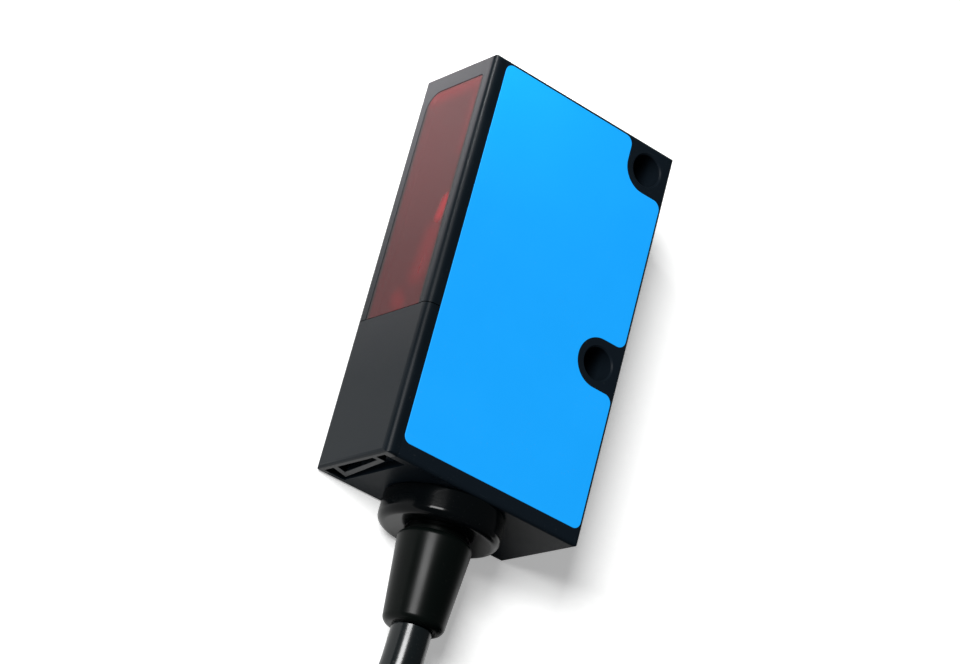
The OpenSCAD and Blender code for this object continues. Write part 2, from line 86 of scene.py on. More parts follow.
# Painted red glow and glint on the screen, standing in for light caught in its edges and a
# lens-edge highlight: start and end in X and Z, half width, strength
SCREEN_PAINTED_GLINTS = [
    ((-0.0206, 0.0026), (-0.0207, 0.0104), 0.0019, 0.28),
    ((-0.0202, 0.0106), (-0.0130, 0.0106), 0.0016, 0.18),
    ((-0.0070, 0.0102), (-0.0054, 0.0098), 0.0013, 1.00),
    ((-0.0036, 0.0094), (0.0005, 0.0088), 0.0024, 0.32),
    ((0.0028, 0.0062), (0.0036, 0.0070), 0.0016, 0.30),
]

# The screen fades over this height at its lower edge
SCREEN_SOFT = 0.0008
# The front's painted reflection starts here and is full at the far end
REFLECTION_PAINT_START = 0.0110
# The painted reflection lies on the front face only: full at the first depth behind it, gone at the
# second
REFLECTION_PAINT_DEPTHS = (0.00002, 0.00012)

# Route of the cable from the strain relief down to the coil, as the CAD has it
LEAD_ROUTE = [
    (0.0326, -0.0002, 0.0061), (0.0346, -0.0002, 0.0060), (0.0366, -0.0002, 0.0058),
    (0.0386, -0.0003, 0.0054), (0.0405, -0.0007, 0.0049), (0.0424, -0.0014, 0.0044),
    (0.0442, -0.0023, 0.0039), (0.0459, -0.0034, 0.0035), (0.0475, -0.0046, 0.0031),
    (0.0492, -0.0057, 0.0028), (0.0510, -0.0067, 0.0026), (0.0529, -0.0076, 0.0024),
    (0.0548, -0.0083, 0.0023), (0.0567, -0.0089, 0.0023), (0.0587, -0.0093, 0.0023),
    (0.0607, -0.0096, 0.0023), (0.0627, -0.0098, 0.0023), (0.0640, -0.0098, 0.0023),
]

# Winding of the coil: (degrees turned, radius in millimetres, layer) at the end of each hold
COIL_HOLDS = [
    (190, 29, 0), (550, 25, 0), (910, 21, 0), (1230, 17, 0),
    (1550, 17, 1), (1910, 21, 1), (2270, 25, 1), (2590, 29, 1),
    (2910, 29, 2), (3270, 25, 2), (3630, 21, 2), (3950, 17, 2),
    (4270, 17, 3), (4630, 21, 3), (4870, 25, 3),
]
# Angles in degrees: the coil's start, a shift between two holds, a step, and the tie's place
COIL_START = -90
COIL_SHIFT = 40
COIL_STEP = 4
TIE_TURN = -45
# Height of the cable's middle in the lowest layer
COIL_BASE = 0.0023

# Stripped cores, each with its place round the cable's axis, and their distance from it
CORES = ("core_brown", "core_white", "core_blue", "core_black")
CORE_PLACES = ((-1, -1), (-1, 1), (1, 1), (1, -1))
CORE_SPREAD = 0.00057

# The cores' ends on the coil in millimetres: the first one's radius and the gap to the next
CORE_END_RADIUS = 23.7
CORE_END_GAP = 1.2

# The front's edges are crisper than the edge break by this factor; the rotors have their own
FRONT_EDGE = 0.4
ROTOR_EDGE = 0.00005

# Camera: where it stands and its own three directions
CAMERA_PLACE = (0.114107, -0.144056, 0.236054)
CAMERA_RIGHT = (-0.24175, 0.76742, 0.59382)
CAMERA_UP = (-0.89130, -0.41754, 0.17675)
CAMERA_BACK = (0.38358, -0.48655, 0.78494)

# Lights: where each stands and what it is aimed at
KEY_PLACE, KEY_TARGET, KEY_SIZE = (-0.14, -1.55, 1.55), (0, 0, 0.006), 0.9
PATCH_PLACE, PATCH_TARGET = (-0.09, -0.14, 0.09), (-0.034, -0.024, 0)
PATCH_CONE = 12

# Floor: half its width, and its small step under the sensor
FLOOR_HALF = 2.5
FLOOR_DROP = 0.00003
# What the floor adds to its own light where the camera sees it directly
FLOOR_GLOW = 0.33

# Colours that are not settings
DUST = (0.30, 0.29, 0.27, 1.0)
# Painted reflection grey of the front face
PAINTED_REFLECTION_GREY = (0.11, 0.103, 0.112, 1.0)
SCREEN_BORDER = (0.007, 0.006, 0.007, 1.0)
# Painted red of the screen's glow and glint
PAINTED_GLINT_RED = (0.30, 0.006, 0.012, 1.0)
FRONT_BLACK = (0.003, 0.0055, 0.008)
BUSH_BLACK = (0.0010, 0.0015, 0.0018)
RELIEF_BLACK = (0.0012, 0.0021, 0.0018)

# Height of the finest relief on a surface
FINE = 0.00001


# ---------------------------------------------------------------- settings


class SensorStageSettings(bpy.types.PropertyGroup):
    """Floor, lights and camera."""

    lens: FloatProperty(
        name="Lens", description="Focal length of the camera, in millimetres",
        default=111.976, min=20, max=300,
    )
    key_power: FloatProperty(
        name="Key light", description="Power of the large soft light over the front",
        default=68, min=0, max=400, unit="POWER",
    )
    patch_power: FloatProperty(
        name="Floor patch", description="Power of the small light on the paper by the far end",
        default=5.0, min=0, max=100, unit="POWER",
    )
    sky: FloatProperty(
        name="Room light", description="Strength of the even light of the room",
        default=0.10, min=0, max=5,
    )
    floor_color: FloatVectorProperty(
        name="Floor", description="Colour of the paper floor", subtype="COLOR",
        size=3, default=(0.95, 0.955, 0.95), min=0, max=1,
    )


class SensorCableSettings(bpy.types.PropertyGroup):
    """Cable, strain relief and coil."""

    diameter: FloatProperty(
        name="Cable diameter", description="Outside diameter of the cable jacket",
        default=0.004, min=0.003, max=0.006, unit="LENGTH",
    )
    length: FloatProperty(
        name="Cable length", description="Length from the strain relief to the stripped end",
        default=2.0, min=0.5, max=5.0, unit="LENGTH",
    )
    core_diameter: FloatProperty(
        name="Core diameter", description="Outside diameter of each insulated core",
        default=0.0011, min=0.0008, max=0.0015, unit="LENGTH",
    )
    turning: IntProperty(
        name="Steps round", description="Steps in each turned piece", default=96, min=24, max=256,
    )


class SensorFinishSettings(bpy.types.PropertyGroup):
    """Colours and edges of the outer pieces."""

    shell_color: FloatVectorProperty(
        name="Housing", description="Colour of the moulded housing", subtype="COLOR",
        size=3, default=(0.0045, 0.0075, 0.011), min=0, max=1,
    )
    label_color: FloatVectorProperty(
        name="Label", description="Colour of the plain label film", subtype="COLOR",
        size=3, default=(0.005, 0.36, 0.96), min=0, max=1,
    )
    screen_color: FloatVectorProperty(
        name="Screen", description="Colour of the tinted front screen", subtype="COLOR",
        size=3, default=(0.072, 0.004, 0.006), min=0, max=1,
    )
    jacket_color: FloatVectorProperty(
        name="Cable jacket", description="Colour of the cable jacket", subtype="COLOR",
        size=3, default=(0.0032, 0.0052, 0.0058), min=0, max=1,
    )
    edge_break: FloatProperty(
        name="Edge break", description="Radius that breaks the sharp moulded edges",
        default=0.00008, min=0.00002, max=0.0003, unit="LENGTH",
    )


# ---------------------------------------------------------------- mesh helpers


def settle(bm, name, slot, material, smooth_angle=32, body=BODY):
    """Turns a bmesh into a finished object that rides on a body."""
    mesh = bpy.data.meshes.new(name)
    bm.to_mesh(mesh)
    bm.free()
    mesh.polygons.foreach_set("use_smooth", [True] * len(mesh.polygons))
    mesh.set_sharp_from_angle(angle=math.radians(smooth_angle))
    piece = bpy.data.objects.new(name, mesh)
    bpy.context.scene.collection.objects.link(piece)
    mesh.materials.append(material)
    true = piece.modifiers.new("flat faces", "WEIGHTED_NORMAL")
    true.keep_sharp = True
    true.weight = 100
    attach(piece, body)
    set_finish(piece, slot)
    return piece


def dress(node, material):
    """Gives a CAD node its finish."""
    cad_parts[node].material_slots[0].material = material


def shell_copy(node):
    """Merged copy of a CAD node's mesh, its flat faces whole again."""
    bm = bmesh.new()
    bm.from_mesh(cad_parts[node].data)
    bmesh.ops.remove_doubles(bm, verts=bm.verts, dist=1e-6)
    bmesh.ops.dissolve_limit(
        bm, angle_limit=math.radians(0.4), verts=bm.verts, edges=bm.edges,
        use_dissolve_boundaries=False,
    )
    return bm


def break_edges(bm, width, keep=lambda edge: True):
    """Rounds the sharp edges that keep() chooses."""
    least = math.radians(38)
    chosen = [
        e for e in bm.edges
        if len(e.link_faces) == 2 and e.calc_face_angle(0) > least and keep(e)
    ]
    bmesh.ops.bevel(
        bm, geom=chosen, offset=width, offset_type="OFFSET", segments=2, profile=0.5,
        affect="EDGES", clamp_overlap=True, material=-1, loop_slide=True,
    )


def turned(profile, steps):
    """Shape turned about the cable's axis from (x, radius) points of a closed outline."""
    bm = bmesh.new()
    verts = [bm.verts.new((x, CABLE_Y, CABLE_Z + r)) for x, r in profile]
    edges = [bm.edges.new((a, b)) for a, b in zip(verts, verts[1:] + verts[:1])]
    bmesh.ops.spin(
        bm, geom=verts + edges, cent=(0, CABLE_Y, CABLE_Z), axis=(1, 0, 0),
        angle=math.tau, steps=steps, use_merge=True,
    )
    bmesh.ops.remove_doubles(bm, verts=bm.verts, dist=1e-7)
    bmesh.ops.recalc_face_normals(bm, faces=bm.faces)
    return bm


def arc(middle, radius, start, end, steps):
    """Points of an arc in (x, radius), its angles in degrees from the cable's direction."""
    points = []
    for i in range(steps + 1):
        a = math.radians(start + (end - start) * i / steps)
        points.append((middle[0] + radius * math.cos(a), middle[1] + radius * math.sin(a)))
    return points


def smooth_step(t):
    """Eases a share from 0 to 1 in and out."""
    return t * t * (3 - 2 * t)


def through(points, parts):
    """Smooth line through points: each stretch is cut into parts."""
    line = []
    for i in range(len(points) - 1):
        p1, p2 = points[i], points[i + 1]
        p0 = points[i - 1] if i else p1 * 2 - p2
        p3 = points[i + 2] if i + 2 < len(points) else p2 * 2 - p1
        for k in range(parts):
            t = k / parts
            line.append(
                p1 + (p2 - p0) * (t / 2)
                + (p0 * 2 - p1 * 5 + p2 * 4 - p3) * (t * t / 2)
                + (p1 * 3 - p0 - p2 * 3 + p3) * (t * t * t / 2)
            )
    line.append(points[-1])
    return line


def tube(name, points, radius, slot, material, ring=6):
    """Round cord along points, as one open curve with closed ends."""
    data = bpy.data.curves.new(name, "CURVE")
    data.dimensions = "3D"
    data.bevel_depth = radius
    data.bevel_resolution = ring
    data.use_fill_caps = True
    spline = data.splines.new("POLY")
    spline.points.add(len(points) - 1)
    for p, co in zip(spline.points, points):
        p.co = (co[0], co[1], co[2], 1)
    spline.use_smooth = True
    piece = bpy.data.objects.new(name, data)
    bpy.context.scene.collection.objects.link(piece)
    data.materials.append(material)
    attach(piece, BODY)
    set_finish(piece, slot)
    return piece


# ---------------------------------------------------------------- shader groups


class Nodes:
    """Short way to add and join the nodes of a tree."""

    def __init__(self, tree):
        self.tree = tree

    def add(self, kind, settings=None, **inputs):
        """New node; inputs go by name, or by place as i0, i1 and so on."""
        node = self.tree.nodes.new(kind)
        for key, value in (settings or {}).items():
            setattr(node, key, value)
        for key, value in inputs.items():
            self.feed(node, key.replace("_", " "), value)
        return node

    def feed(self, node, key, value):
        by_place = key[0] == "i" and key[1:].isdigit()
        socket = node.inputs[int(key[1:]) if by_place else key]
        if isinstance(value, bpy.types.NodeSocket):
            self.tree.links.new(value, socket)
        else:
            socket.default_value = value

    def math(self, operation, a, b=0.0, clamp=False):
        settings = {"operation": operation, "use_clamp": clamp}
        return self.add("ShaderNodeMath", settings, i0=a, i1=b).outputs[0]

    def plus(self, a, b, clamp=False):
        return self.math("ADD", a, b, clamp)

    def minus(self, a, b):
        return self.math("SUBTRACT", a, b)

    def times(self, a, b):
        return self.math("MULTIPLY", a, b)

    def larger(self, a, b):
        return self.math("MAXIMUM", a, b)

    def place(self):
        return self.add("ShaderNodeTexCoord").outputs["Object"]

    def relief(self, shader, strength, distance, height):
        bump = self.add("ShaderNodeBump", Strength=strength, Distance=distance, Height=height)
        self.feed(shader, "Normal", bump.outputs[0])

    def noise(self, place, scale, detail, roughness=0.5):
        return self.add(
            "ShaderNodeTexNoise", Vector=place, Scale=scale, Detail=detail, Roughness=roughness,
        ).outputs

    def remap(self, value, low, high, out_low=0.0, out_high=1.0, smooth=True):
        settings = {"interpolation_type": "SMOOTHSTEP" if smooth else "LINEAR"}
        return self.add(
            "ShaderNodeMapRange", settings,
            i0=value, i1=low, i2=high, i3=out_low, i4=out_high,
        ).outputs[0]

    def mix(self, factor, a, b):
        node = self.add("ShaderNodeMix", {"data_type": "RGBA"})
        self.feed(node, "i0", factor)
        self.feed(node, "i6", a)
        self.feed(node, "i7", b)
        return node.outputs[2]


def shader_group(name, inputs, outputs):
    """Empty node group with its named sockets; the group is built once."""
    group = bpy.data.node_groups.new(name, "ShaderNodeTree")
    kind = "NodeSocketFloat"
    for label, default in inputs:
        socket = group.interface.new_socket(name=label, in_out="INPUT", socket_type=kind)
        socket.default_value = default
    for label in outputs:
        group.interface.new_socket(name=label, in_out="OUTPUT", socket_type=kind)
    nodes = Nodes(group)
    return group, nodes, nodes.add("NodeGroupInput").outputs, nodes.add("NodeGroupOutput")


def make_screen_group():
    """Where the screen shows clear, where its painted glow and glint lie, and where the front's
    painted reflection lies.
    """
    group, n, given, out = shader_group(
        "Screen Clear and Painted Light", [("Soft", SCREEN_SOFT)], ["Clear", "Glow", "Haze"],
    )
    part = n.add("ShaderNodeSeparateXYZ", Vector=n.place()).outputs
    x, z = part["X"], part["Z"]
    low = n.remap(n.minus(z, SCREEN_LOW_EDGE), 0.0, given["Soft"])
    high = n.remap(z, SCREEN_HIGH_EDGE - 0.0001, SCREEN_HIGH_EDGE - 0.0005)
    far = n.remap(x, SCREEN_FAR, SCREEN_FAR + 0.0004)
    n.feed(out, "Clear", n.times(n.times(low, high), far))
    # Painted glow and glint: each stretch lightens the screen's red near it
    painted_glints = 0.0
    for start, end, half_width, strength in SCREEN_PAINTED_GLINTS:
        start, end = Vector(start), Vector(end)
        length = (end - start).length
        way = (end - start) / length
        side = Vector((-way.y, way.x))
        # How far along the stretch and how far beside it a point is
        along = n.minus(n.plus(n.times(x, way.x), n.times(z, way.y)), start.dot(way))
        beside = n.minus(n.plus(n.times(x, side.x), n.times(z, side.y)), start.dot(side))
        past = n.larger(n.larger(n.times(along, -1.0), n.minus(along, length)), 0.0)
        reach = n.math("SQRT", n.plus(n.times(beside, beside), n.times(past, past)))
        painted_glints = n.larger(painted_glints, n.times(n.remap(reach, half_width, 0.0), strength))
    n.feed(out, "Glow", n.times(painted_glints, high))
    # Painted reflection: the front face lightens towards the far end
    near, deep = REFLECTION_PAINT_DEPTHS
    face = n.remap(part["Y"], FRONT_Y + deep, FRONT_Y + near)
    haze = n.remap(x, REFLECTION_PAINT_START, HOUSING_LOW.x, smooth=False)
    n.feed(out, "Haze", n.times(haze, face))
    return group


def make_grain_group():
    """Fine eroded texture of a mould, with slow drift in its gloss."""
    group, n, given, out = shader_group(
        "Moulded Grain", [("Size", 0.0002), ("Depth", 1.0)], ["Height", "Drift"],
    )
    place = n.place()
    scale = n.math("DIVIDE", 1.0, given["Size"])
    fine = n.noise(place, scale, 3.0, 0.6)
    pits = n.add(
        "ShaderNodeTexVoronoi", {"feature": "SMOOTH_F1"},
        Vector=place, Scale=scale, Smoothness=0.6,
    )
    height = n.plus(fine[0], n.times(pits.outputs["Distance"], 0.5))
    slow = n.noise(place, 140.0, 4.0)
    n.feed(out, "Height", n.times(height, given["Depth"]))
    n.feed(out, "Drift", n.remap(slow[0], 0.3, 0.7))
    return group


def make_marks_group():
    """Faint smears and hairline scratches of handling."""
    group, n, given, out = shader_group(
        "Handling Marks", [("Smears", 0.5), ("Scratches", 0.5)], ["Smear", "Scratch"],
    )
    place = n.place()
    warp = n.noise(place, 60.0, 2.0)
    bent = n.add(
        "ShaderNodeVectorMath", {"operation": "MULTIPLY_ADD"},
        i0=warp["Color"], i1=(0.012, 0.012, 0.012), i2=place,
    )
    smear = n.noise(bent.outputs[0], 110.0, 5.0, 0.55)
    n.feed(out, "Smear", n.times(n.remap(smear[0], 0.5, 0.72), given["Smears"]))
    lines = None
    for turn, stretch in ((0.35, 0.05), (-0.6, 0.04), (1.2, 0.05)):
        laid = n.add(
            "ShaderNodeMapping",
            Vector=place, Rotation=(0.2, 0.3, turn), Scale=(1.0, stretch, 1.0),
        )
        thin = n.remap(n.noise(laid.outputs[0], 7000.0, 1.0, 0.4)[0], 0.76, 0.79)
        lines = thin if lines is None else n.larger(lines, thin)
    n.feed(out, "Scratch", n.times(lines, given["Scratches"]))
    return group


def make_dust_group():
    """Specks that settle on faces that look up."""
    group, n, given, out = shader_group("Settled Dust", [("Amount", 0.5)], ["Mask"])
    place = n.place()
    normal = n.add("ShaderNodeNewGeometry").outputs["Normal"]
    facing = n.add("ShaderNodeSeparateXYZ", Vector=normal).outputs
    up = n.remap(facing["Z"], -0.1, 0.9, 0.25, 1.0)
    speck = n.noise(place, 5200.0, 2.0)
    patch = n.noise(place, 260.0, 3.0)
    mask = n.times(n.remap(speck[0], 0.66, 0.74), n.remap(patch[0], 0.4, 0.68))
    n.feed(out, "Mask", n.times(n.times(mask, up), given["Amount"]))
    return group


def make_wear_group():
    """Edges rubbed lighter where the shape turns sharply."""
    group, n, given, out = shader_group("Edge Rub", [("Width", 0.0002), ("Amount", 0.5)], ["Mask"])
    soft = n.add("ShaderNodeBevel", {"samples": 4}, Radius=given["Width"])
    flat = n.add("ShaderNodeNewGeometry").outputs["Normal"]
    dot = n.add(
        "ShaderNodeVectorMath", {"operation": "DOT_PRODUCT"}, i0=soft.outputs[0], i1=flat,
    )
    edge = n.remap(dot.outputs["Value"], 0.99, 0.8)
    broken = n.noise(n.place(), 900.0, 4.0)
    mask = n.times(edge, n.remap(broken[0], 0.35, 0.65))
    n.feed(out, "Mask", n.times(mask, given["Amount"]))
    return group


GROUP_MAKERS = {
    "Screen Clear and Painted Light": make_screen_group,
    "Moulded Grain": make_grain_group,
    "Handling Marks": make_marks_group,
    "Settled Dust": make_dust_group,
    "Edge Rub": make_wear_group,
}


def shared(n, name, **inputs):
    """Places a shared effect in a material, building it the first time."""
    tree = bpy.data.node_groups.get(name) or GROUP_MAKERS[name]()
    node = n.add("ShaderNodeGroup", {"node_tree": tree})
    for key, value in inputs.items():
        n.feed(node, key, value)
    return node.outputs


# ---------------------------------------------------------------- materials


def start_material(name, **constant):
    """Principled material; constant values go straight on its sockets."""
    material = bpy.data.materials.new(name)
    material.use_nodes = True
    n = Nodes(material.node_tree)
    shader = next(x for x in n.tree.nodes if x.type == "BSDF_PRINCIPLED")
    for key, value in constant.items():
        shader.inputs[key.replace("_", " ")].default_value = value
    return material, n, shader


def lighter(color, by):
    """Colour times a factor, with alpha; a factor under 1 darkens it."""
    return tuple(min(1.0, c * by) for c in color) + (1.0,)


def opaque(color):
    """Colour with alpha."""
    return tuple(color) + (1.0,)


def moulded(
    name, color, rough, grain=0.00022, bump=0.12, smears=0.35, scratches=0.25,
    dust=0.12, rub=0.35, drift=0.06, specular=0.5, extra=None, haze=0.0,
):
    """Moulded plastic or rubber: grain, gloss drift, handling marks, dust and rubbed edges; the
    front can add a painted reflection.
    """
    material, n, shader = start_material(name, Specular_IOR_Level=specular)
    relief = shared(n, "Moulded Grain", Size=grain, Depth=1.0)
    marks = shared(n, "Handling Marks", Smears=smears, Scratches=scratches)
    specks = shared(n, "Settled Dust", Amount=dust)
    edges = shared(n, "Edge Rub", Width=0.00022, Amount=rub)
    base = n.mix(n.times(relief["Drift"], 0.35), opaque(color), lighter(color, 1.35))
    rubbed = lighter(tuple(c + 0.012 for c in color), 2.2)
    scratched = lighter(tuple(c + 0.02 for c in color), 2.0)
    base = n.mix(edges["Mask"], base, rubbed)
    base = n.mix(n.times(marks["Scratch"], 0.25), base, scratched)
    # Painted reflection of the floor, lighter towards the front's far end
    if haze:
        reflection_paint = n.times(shared(n, "Screen Clear and Painted Light", Soft=SCREEN_SOFT)["Haze"], haze)
        base = n.mix(reflection_paint, base, PAINTED_REFLECTION_GREY)
    base = n.mix(specks["Mask"], base, DUST)
    n.feed(shader, "Base Color", base)
    gloss = n.plus(rough, n.times(relief["Drift"], drift))
    gloss = n.plus(gloss, n.times(marks["Smear"], 0.10))
    gloss = n.minus(gloss, n.times(edges["Mask"], 0.08))
    gloss = n.plus(gloss, n.times(specks["Mask"], 0.3), clamp=True)
    n.feed(shader, "Roughness", gloss)
    height = n.minus(relief["Height"], n.times(marks["Scratch"], 0.6))
    if extra:
        height = n.plus(height, extra(n))
    n.relief(shader, bump, FINE, height)
    return material


def label_film(color):
    """Plain satin film with a fine grain and faint marks."""
    material, n, shader = start_material("label film", Specular_IOR_Level=0.35)
    relief = shared(n, "Moulded Grain", Size=0.00012, Depth=1.0)
    marks = shared(n, "Handling Marks", Smears=0.5, Scratches=0.1)
    specks = shared(n, "Settled Dust", Amount=0.2)
    base = n.mix(n.times(relief["Drift"], 0.5), opaque(color), lighter(color, 1.04))
    base = n.mix(n.times(marks["Scratch"], 0.12), base, (0.35, 0.6, 0.9, 1))
    base = n.mix(n.times(specks["Mask"], 0.5), base, (0.16, 0.30, 0.46, 1))
    n.feed(shader, "Base Color", base)
    gloss = n.plus(0.42, n.times(relief["Drift"], 0.05))
    n.feed(shader, "Roughness", n.plus(gloss, n.times(marks["Smear"], 0.08)))
    n.relief(shader, 0.1, FINE, relief["Height"])
    return material


def tinted_clear(name, color, rough, clear, ior=1.49, specular=0.5, depth=None):
    """Tinted clear plastic with a faint haze and handling marks."""
    material, n, shader = start_material(
        name, Transmission_Weight=clear, IOR=ior, Specular_IOR_Level=specular,
    )
    marks = shared(n, "Handling Marks", Smears=0.5, Scratches=0.3)
    specks = shared(n, "Settled Dust", Amount=0.3)
    relief = shared(n, "Moulded Grain", Size=0.0004, Depth=1.0)
    base = n.mix(n.times(relief["Drift"], 0.25), opaque(color), lighter(color, 1.3))
    if depth:
        base = depth(n, base)
    base = n.mix(n.times(specks["Mask"], 0.6), base, DUST)
    n.feed(shader, "Base Color", base)
    gloss = n.plus(rough, n.times(marks["Smear"], 0.12))
    gloss = n.plus(gloss, n.times(marks["Scratch"], 0.3), clamp=True)
    n.feed(shader, "Roughness", gloss)
    n.relief(shader, 0.05, FINE, relief["Height"])
    return material


def screen_depth(n, base):
    """Deep red of the screen: it fades at the frame and carries a painted red glow and glint near
    the optics' edges.
    """
    marks = shared(n, "Screen Clear and Painted Light", Soft=SCREEN_SOFT)
    base = n.mix(n.minus(1.0, marks["Clear"]), base, SCREEN_BORDER)
    # Painted red glow and glint where light would catch in the screen
    return n.mix(marks["Glow"], base, PAINTED_GLINT_RED)


def metal(name, color, rough):
    """Tinned or bare metal with fine scratches and dull patches."""
    material, n, shader = start_material(name, Metallic=1.0)
    relief = shared(n, "Moulded Grain", Size=0.0001, Depth=1.0)
    marks = shared(n, "Handling Marks", Smears=0.8, Scratches=0.8)
    edges = shared(n, "Edge Rub", Width=0.0001, Amount=0.6)
    base = n.mix(relief["Drift"], lighter(color, 0.8), opaque(color))
    base = n.mix(edges["Mask"], base, lighter(color, 1.25))
    base = n.mix(n.times(marks["Smear"], 0.3), base, lighter(color, 0.6))
    n.feed(shader, "Base Color", base)
    gloss = n.plus(rough, n.times(marks["Smear"], 0.2))
    n.feed(shader, "Roughness", n.minus(gloss, n.times(edges["Mask"], 0.1)))
    height = n.plus(relief["Height"], n.times(marks["Scratch"], -1.5))
    n.relief(shader, 0.15, FINE, height)
    return material


def board_finish():
    """Green solder mask over glass weave, with copper tracks under it."""
    material, n, shader = start_material(
        "solder mask", Specular_IOR_Level=0.5, Coat_Weight=0.3, Coat_Roughness=0.15,
    )
    place = n.place()
    marks = shared(n, "Handling Marks", Smears=0.4, Scratches=0.3)
    weave_x, weave_y = (
        n.add(
            "ShaderNodeTexWave", {"bands_direction": way},
            Vector=place, Scale=900.0, Distortion=0.4,
        ).outputs["Fac"]
        for way in "XY"
    )
    weave = n.times(weave_x, weave_y)
    track = n.add(
        "ShaderNodeTexBrick",
        Vector=place, Scale=420.0, Mortar_Size=0.09, Brick_Width=0.9, Row_Height=0.35,
    )
    copper = n.remap(track.outputs["Fac"], 0.4, 0.6)
    base = n.mix(n.times(weave, 0.4), (0.008, 0.10, 0.035, 1), (0.012, 0.14, 0.05, 1))
    base = n.mix(n.times(copper, 0.6), base, (0.03, 0.25, 0.09, 1))
    n.feed(shader, "Base Color", base)
    n.feed(shader, "Roughness", n.plus(0.3, n.times(marks["Smear"], 0.15)))
    height = n.plus(n.times(copper, 2.0), weave)
    n.relief(shader, 0.3, 0.00002, height)
    return material


def paper_floor(color):
    """White paper. Seen directly it glows a little; what it throws on the sensor doesn't."""
    material, n, shader = start_material("studio paper", Specular_IOR_Level=0.1, Roughness=0.9)
    fibre = n.noise(n.place(), 1400.0, 4.0)
    base = n.mix(n.remap(fibre[0], 0.3, 0.7), opaque(color), lighter(color, 1.03))
    n.feed(shader, "Base Color", base)
    n.relief(shader, 0.05, 0.0001, fibre[0])
    paper = shader.outputs[0]
    glow = n.add("ShaderNodeEmission", Color=(1, 1, 1, 1), Strength=FLOOR_GLOW).outputs[0]
    bright = n.add("ShaderNodeAddShader", i0=paper, i1=glow).outputs[0]
    direct = n.add("ShaderNodeLightPath").outputs["Is Camera Ray"]
    choose = n.add("ShaderNodeMixShader", i0=direct, i1=paper, i2=bright)
    out = next(x for x in n.tree.nodes if x.type == "OUTPUT_MATERIAL")
    n.feed(out, "Surface", choose.outputs[0])
    return material


def jacket_waves(n):
    """Slow waves of an extruded jacket."""
    return n.times(n.noise(n.place(), 420.0, 2.0)[0], 1.2)


def finishes(look):
    """All the object's materials, by name."""
    jacket = tuple(look.jacket_color)
    shell = tuple(look.shell_color)
    return {
        "housing": moulded(
            "housing plastic", shell, 0.33, smears=0.25, dust=0.04, rub=0.05, specular=0.03,
        ),
        # The front carries a painted reflection that grows towards its far end
        "front": moulded(
            "front plastic", FRONT_BLACK, 0.28, grain=0.0003, bump=0.06, smears=0.25,
            dust=0.04, rub=0.05, specular=0.12, haze=0.36,
        ),
        "bush": moulded(
            "bush plastic", BUSH_BLACK, 0.12, grain=0.0004, bump=0.05, smears=0.2,
            dust=0.04, rub=0.1, specular=0.12,
        ),
        "relief": moulded(
            "strain relief rubber", RELIEF_BLACK, 0.27, grain=0.0003, bump=0.06, smears=0.25,
            dust=0.04, rub=0.05, specular=0.1,
        ),
        "jacket": moulded(
            "cable jacket", jacket, 0.17, grain=0.0003, bump=0.05, smears=0.2, rub=0.0,
            specular=0.4, extra=jacket_waves,
        ),
        "label": label_film(tuple(look.label_color)),
        "screen": tinted_clear(
            "screen acrylic", tuple(look.screen_color), 0.18, 0.3, specular=0.1,
            depth=screen_depth,
        ),
        "foam": moulded(
            "seal foam", (0.012, 0.012, 0.012), 0.85, grain=0.0005, bump=0.8, rub=0.1,
            specular=0.2,
        ),
        "optics": moulded("optics carrier", (0.006, 0.006, 0.0065), 0.55, bump=0.2),
        "lens": tinted_clear("lens clear", (0.95, 0.93, 0.93), 0.03, 0.95, ior=1.58),
        "diode": tinted_clear("diode resin", (0.85, 0.80, 0.70), 0.12, 0.6, ior=1.54),
        "chip": moulded("chip resin", (0.012, 0.012, 0.013), 0.45, grain=0.00012, bump=0.25),
        "tin": metal("tinned sheet", (0.62, 0.62, 0.60), 0.3),
        "board": board_finish(),
        "ceramic": moulded("ceramic", (0.36, 0.27, 0.17), 0.4, grain=0.00015, bump=0.15, drift=0.1),
        "yellow_chip": tinted_clear("amber chip", (0.85, 0.58, 0.10), 0.2, 0.3),
        "green_chip": tinted_clear("green chip", (0.22, 0.68, 0.22), 0.2, 0.3),
        "yellow_guide": tinted_clear("amber guide", (0.92, 0.52, 0.05), 0.1, 0.45),
        "green_guide": tinted_clear("green guide", (0.12, 0.68, 0.18), 0.1, 0.45),
        "trimmer": moulded("trimmer body", (0.03, 0.07, 0.34), 0.4, bump=0.2),
        "rubber": moulded("seal rubber", (0.012, 0.012, 0.012), 0.5, bump=0.2, specular=0.3),
        "rotor": moulded(
            "rotor plastic", (0.74, 0.70, 0.58), 0.38, grain=0.0003, dust=0.2,
            scratches=0.6, rub=0.2,
        ),
        "gasket": moulded("gasket silicone", (0.20, 0.02, 0.015), 0.5, bump=0.15, specular=0.3),
        "copper": metal("tinned copper", (0.80, 0.52, 0.34), 0.32),
        "nylon": moulded("tie nylon", (0.012, 0.012, 0.013), 0.38, grain=0.0004, bump=0.15),
        "core_brown": moulded("brown core", (0.10, 0.034, 0.014), 0.34, bump=0.08),
        "core_white": moulded("white core", (0.74, 0.73, 0.70), 0.36, bump=0.08, scratches=0.1),
        "core_blue": moulded("blue core", (0.014, 0.07, 0.44), 0.34, bump=0.08),
        "core_black": moulded("black core", (0.008, 0.008, 0.009), 0.34, bump=0.08),
        "ferrule": metal("ferrule tin", (0.70, 0.70, 0.68), 0.25),
    }


FINISH = {}


def finish_of(name):
    """One of the object's materials; all are made on the first call."""
    if not FINISH:
        FINISH.update(finishes(bpy.context.scene.sensor_finish))
    return FINISH[name]


# ---------------------------------------------------------------- stage and cable


def as_mesh(curve):
    """Swaps a curve piece for its mesh, under the same name."""
    name, slot = curve.name, curve["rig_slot"]
    mesh = bpy.data.meshes.new_from_object(curve)
    bpy.data.objects.remove(curve)
    mesh.name = name
    piece = bpy.data.objects.new(name, mesh)
    bpy.context.scene.collection.objects.link(piece)
    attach(piece, BODY)
    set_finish(piece, slot)
    return piece


